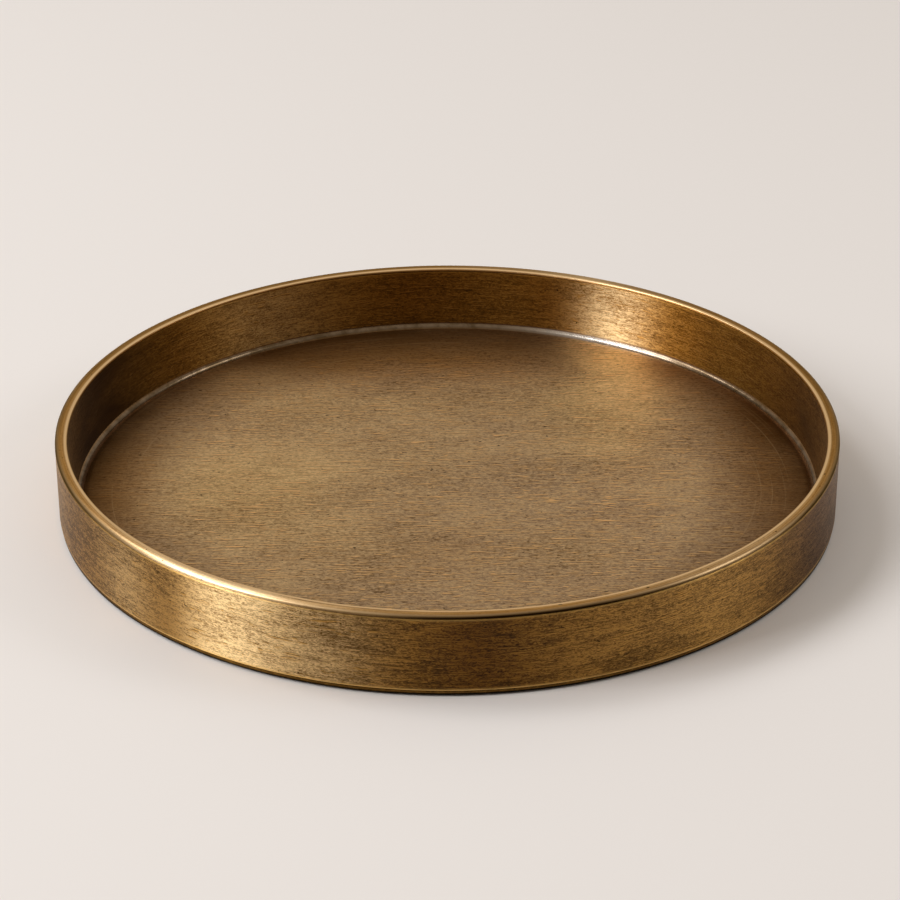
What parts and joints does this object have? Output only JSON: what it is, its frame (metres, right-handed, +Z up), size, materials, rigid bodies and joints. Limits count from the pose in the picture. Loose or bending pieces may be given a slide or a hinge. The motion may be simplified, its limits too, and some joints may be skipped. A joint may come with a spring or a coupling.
{
  "type": "round metal tray",
  "caption": "Round antique-brass tray with a flat floor, an upright double-skinned wall capped by a flat rim ring, a soldered inner seam, and rubber feet under the floor.",
  "frame": {"origin": "centre of the tray on the surface that its rubber feet stand on", "axes": "+Z up along the tray's round axis; X and Y across the tray, with the rubber feet on the diagonals between them"},
  "size_m": [0.3, 0.3, 0.032],
  "materials": {
    "floor_brass": "antique brass, patinated and brushed one way, lacquered",
    "outer_brass": "antique brass, patinated and brushed round the wall",
    "inner_brass": "antique brass, darker, brushed round the wall",
    "rim_brass": "antique brass, brushed on its flat and rubbed bright along its edges",
    "foot_brass": "dull dark patinated brass",
    "solder": "grey soft solder, slightly uneven",
    "foot_rubber": "matt black rubber"
  },
  "bodies": {
    "root": {"floor_plate": "floor_brass", "inner_band": "inner_brass", "outer_band": "outer_brass", "rim_ring": "rim_brass", "foot_ring": "foot_brass", "solder_bead": "solder", "rubber_foot_1": "foot_rubber", "rubber_foot_2": "foot_rubber", "rubber_foot_3": "foot_rubber", "rubber_foot_4": "foot_rubber"}
  },
  "joints": []
}
